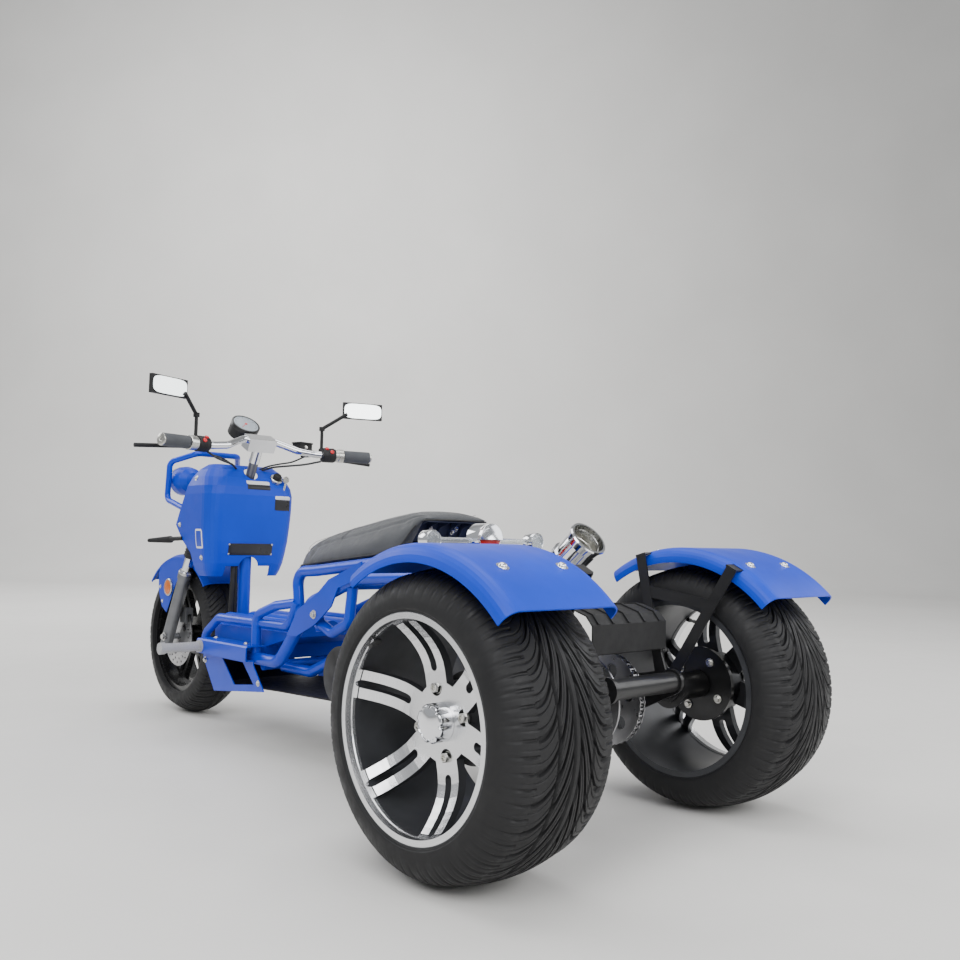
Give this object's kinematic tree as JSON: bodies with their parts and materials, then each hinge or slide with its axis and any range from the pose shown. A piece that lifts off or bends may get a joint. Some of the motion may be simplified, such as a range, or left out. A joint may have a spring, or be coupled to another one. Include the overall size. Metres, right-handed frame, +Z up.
{
  "type": "motor trike",
  "caption": "Scooter-based motor trike: blue tube frame, moulded fairing, low seat, one steered front wheel and a chain-driven axle with two very wide rear tyres.",
  "frame": {"origin": "on the floor, at the middle of the vehicle's length and width", "axes": "+X forward to the front wheel, +Y to the rider's left, +Z up"},
  "size_m": [2.2023, 0.981, 0.998],
  "materials": {
    "blue_paint": "satin",
    "blue_plastic": "satin",
    "black_coat": "satin",
    "black_plastic": "matte",
    "engine_black": "satin",
    "cast_alloy": "satin",
    "machined_alloy": "bright",
    "black_alloy": "gloss",
    "chrome": "polished",
    "steel": "satin",
    "tyre": "matte",
    "vinyl": "satin",
    "grey_rubber": "matte",
    "lens_red": "gloss",
    "lens_clear": "gloss",
    "mirror_black": "gloss"
  },
  "bodies": {
    "frame": {"neck_tube": "blue_paint", "lower_frame": "blue_paint", "frame_loops": "blue_paint", "gusset_plates": "blue_paint", "rear_arms": "blue_paint", "axle_carrier": "black_coat", "battery_box": "blue_plastic", "foot_pegs": "cast_alloy", "side_plates": "blue_paint", "belly_pan": "black_plastic", "engine_block": "engine_black", "engine_barrel": "cast_alloy", "belt_cover": "cast_alloy", "exhaust_pipe": "black_coat", "exhaust_tip": "chrome", "seat": "vinyl", "seat_base": "black_plastic", "tail_lamp": "lens_red", "rear_signals": "lens_clear", "rear_fenders": "blue_plastic", "fender_bars": "black_coat", "chain": "steel", "chain_guard": "black_plastic", "shocks": "blue_paint", "fairing": "blue_plastic", "headlamps": "blue_plastic", "lamp_bracket": "blue_paint", "front_signals": "black_plastic", "cable_sleeves": "black_plastic"},
    "steering": {"fork": "cast_alloy", "front_fender": "blue_plastic", "front_caliper": "cast_alloy", "handlebar": "chrome", "grips": "grey_rubber", "hand_controls": "black_plastic", "mirrors": "mirror_black", "speedometer": "black_plastic"},
    "front_wheel": {"front_rim": "black_alloy", "front_tyre": "tyre", "front_disc": "steel"},
    "rear_axle": {"axle_shaft": "black_coat", "sprocket": "steel", "rear_rim_left": "machined_alloy", "rear_rim_right": "machined_alloy", "rear_tyre_left": "tyre", "rear_tyre_right": "tyre", "hub_caps": "chrome"}
  },
  "joints": [
    {"name": "steering_head", "type": "hinge", "parent": "frame", "child": "steering", "pos_m": [0.57198, 0, 0.7], "axis": [-0.454, 0, 0.891], "range_deg": [-35, 35]},
    {"name": "front_axle", "type": "hinge", "parent": "steering", "child": "front_wheel", "pos_m": [0.85765, 0, 0.2435], "axis": [0, 1, 0], "continuous": true},
    {"name": "rear_axle_turn", "type": "hinge", "parent": "frame", "child": "rear_axle", "pos_m": [-0.84235, 0, 0.2588], "axis": [0, 1, 0], "continuous": true}
  ]
}
